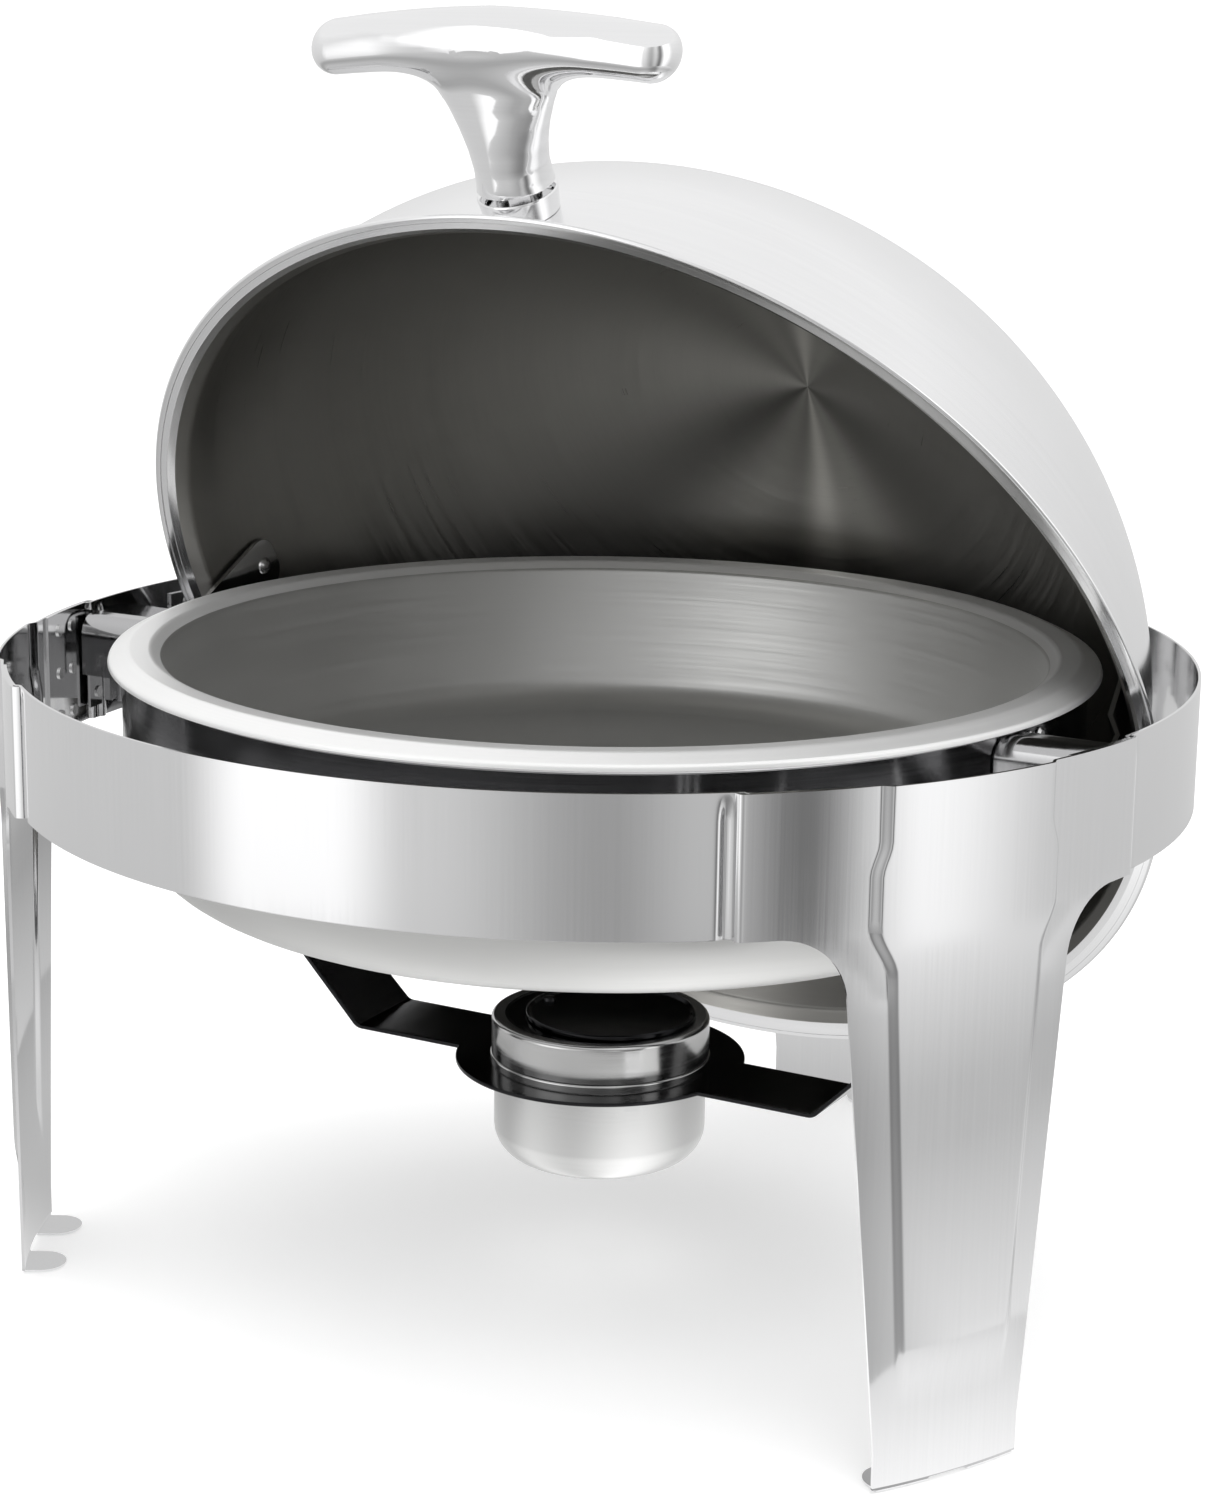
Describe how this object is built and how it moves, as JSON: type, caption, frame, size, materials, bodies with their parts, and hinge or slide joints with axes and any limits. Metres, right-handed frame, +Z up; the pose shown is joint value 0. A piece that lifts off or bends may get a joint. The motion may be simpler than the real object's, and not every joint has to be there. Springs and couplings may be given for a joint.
{
  "type": "roll top chafer",
  "caption": "Round chafing dish: ring frame on pressed sheet legs, domed lid that rolls back on side hinges, nested food and water pans, hanging fuel holder with damper.",
  "frame": {"origin": "on the table under the centre of the ring", "axes": "+Z up, -Y is the front where the food is served, +X to the right seen from the front; the lid turns about the X direction"},
  "size_m": [0.492, 0.4956, 0.5312],
  "materials": {
    "polished_steel": "mirror polished",
    "satin_steel": "satin brushed",
    "dark_steel": "dark glossy, heat darkened",
    "fastener_steel": "plain bright",
    "nylon": "plain"
  },
  "bodies": {
    "frame": {"front_band": "polished_steel", "right_rear_band": "polished_steel", "left_rear_band": "polished_steel", "leg_front_left": "polished_steel", "leg_front_right": "polished_steel", "leg_rear": "polished_steel", "lap_weld_spots": "fastener_steel", "hinge_housing_left": "satin_steel", "hinge_housing_right": "satin_steel", "hinge_weld_spots": "fastener_steel", "hinge_bolt_left": "polished_steel", "hinge_bolt_right": "polished_steel", "hinge_washers_left": "nylon", "hinge_washers_right": "nylon", "hinge_nut_left": "satin_steel", "hinge_nut_right": "satin_steel", "pan_shelf_left": "satin_steel", "pan_shelf_right": "satin_steel", "fuel_bracket": "dark_steel"},
    "lid": {"lid_dome": "polished_steel", "lid_lug_left": "satin_steel", "lid_lug_right": "satin_steel", "lid_lug_rivets": "fastener_steel", "handle_collar": "polished_steel", "handle_grip": "polished_steel", "handle_screws": "fastener_steel", "handle_washers": "satin_steel"},
    "water_pan_body": {"water_pan": "polished_steel", "water_pan_studs": "fastener_steel"},
    "food_pan_body": {"food_pan": "satin_steel"},
    "fuel_holder": {"fuel_cup": "satin_steel"},
    "fuel_cap_body": {"fuel_cap": "dark_steel", "damper_rivet": "fastener_steel"},
    "damper": {"flame_damper": "dark_steel"}
  },
  "joints": [
    {"name": "lid_roll", "type": "hinge", "parent": "frame", "child": "lid", "pos_m": [0, 0, 0.241], "axis": [-1, 0, 0], "range_deg": [-58, 32]},
    {"name": "water_pan_lift", "type": "slide", "parent": "frame", "child": "water_pan_body", "axis": [0, 0, 1], "range_m": [0, 0.012]},
    {"name": "food_pan_lift", "type": "slide", "parent": "water_pan_body", "child": "food_pan_body", "axis": [0, 0, 1], "range_m": [0, 0.028]},
    {"name": "fuel_cup_lift", "type": "slide", "parent": "frame", "child": "fuel_holder", "axis": [0, 0, 1], "range_m": [0, 0.04]},
    {"name": "fuel_cap_lift", "type": "slide", "parent": "fuel_holder", "child": "fuel_cap_body", "axis": [0, 0, 1], "range_m": [0, 0.012]},
    {"name": "damper_swing", "type": "hinge", "parent": "fuel_cap_body", "child": "damper", "pos_m": [-0.0255, 0, 0.1105], "axis": [0, 0, 1], "range_deg": [0, 75]}
  ]
}
